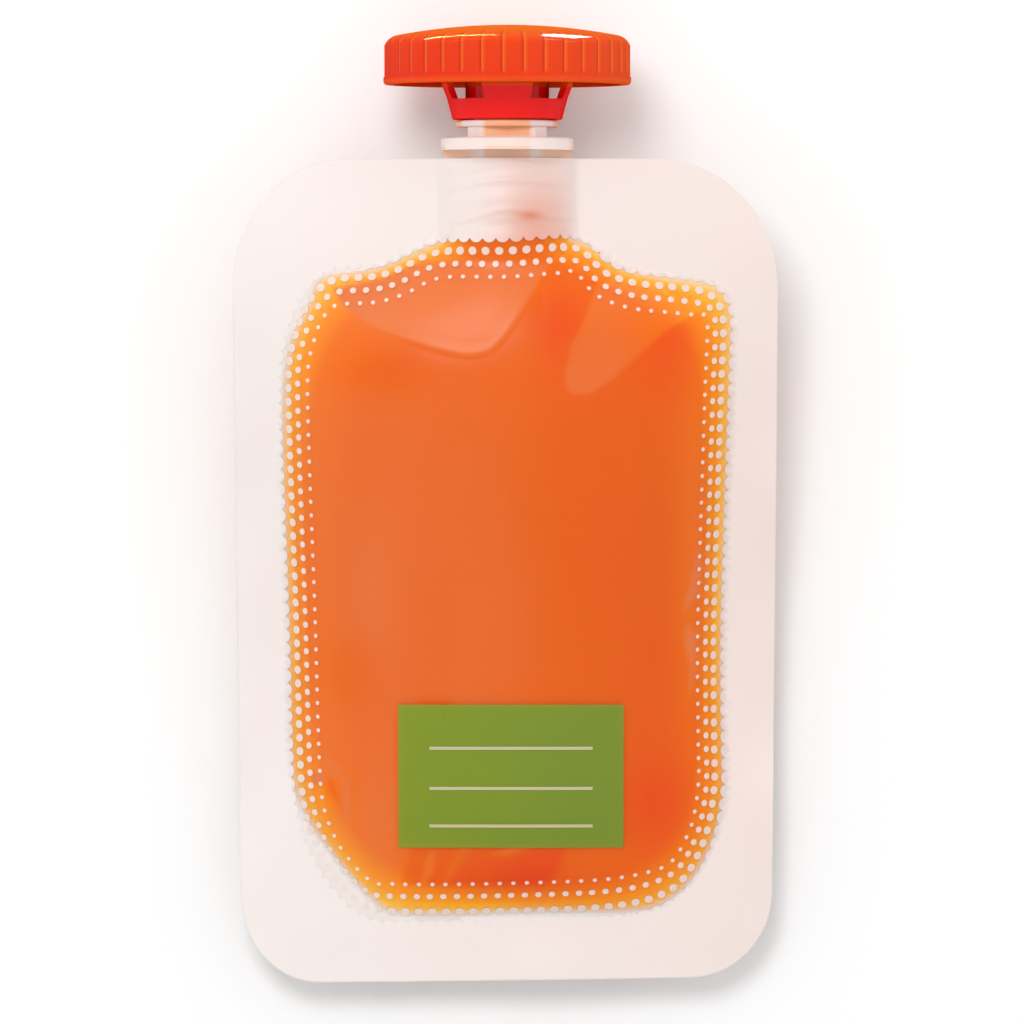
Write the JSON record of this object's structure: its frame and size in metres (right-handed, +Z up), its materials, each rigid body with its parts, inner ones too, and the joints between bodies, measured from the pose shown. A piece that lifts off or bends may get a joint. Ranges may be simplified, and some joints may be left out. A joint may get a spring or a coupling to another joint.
{
  "type": "food pouch",
  "caption": "Filled squeeze pouch for baby food, lying on its back, with a moulded spout and a wide ribbed mushroom-shaped cap that screws off.",
  "frame": {"origin": "under the middle of the whole length, on the surface that the pouch lies on", "axes": "+Y along the spout's axis, towards the cap; +Z up, out of the front film; +X across the pouch"},
  "size_m": [0.0886, 0.1548, 0.04],
  "materials": {
    "film": "clear, soft gloss",
    "spout_plastic": "translucent, satin",
    "cap_plastic": "gloss",
    "liner": "matt",
    "puree": "wet"
  },
  "bodies": {
    "pouch": {"front_film": "film", "back_film": "film", "bottom_gusset": "film", "spout": "spout_plastic", "puree": "puree"},
    "liner": {"cap_seal": "liner"},
    "cap": {"cap": "cap_plastic"}
  },
  "joints": [
    {"name": "cap_rise", "type": "slide", "parent": "pouch", "child": "liner", "axis": [0, 1, 0], "range_m": [0, 0.015]},
    {"name": "cap_twist", "type": "hinge", "parent": "liner", "child": "cap", "pos_m": [0, 0.0707, 0.02], "axis": [0, 1, 0], "range_deg": [0, 1080]}
  ],
  "couplings": [
    {"joint": "cap_rise", "follows": "cap_twist", "m_per_rad": 0.00079577}
  ]
}
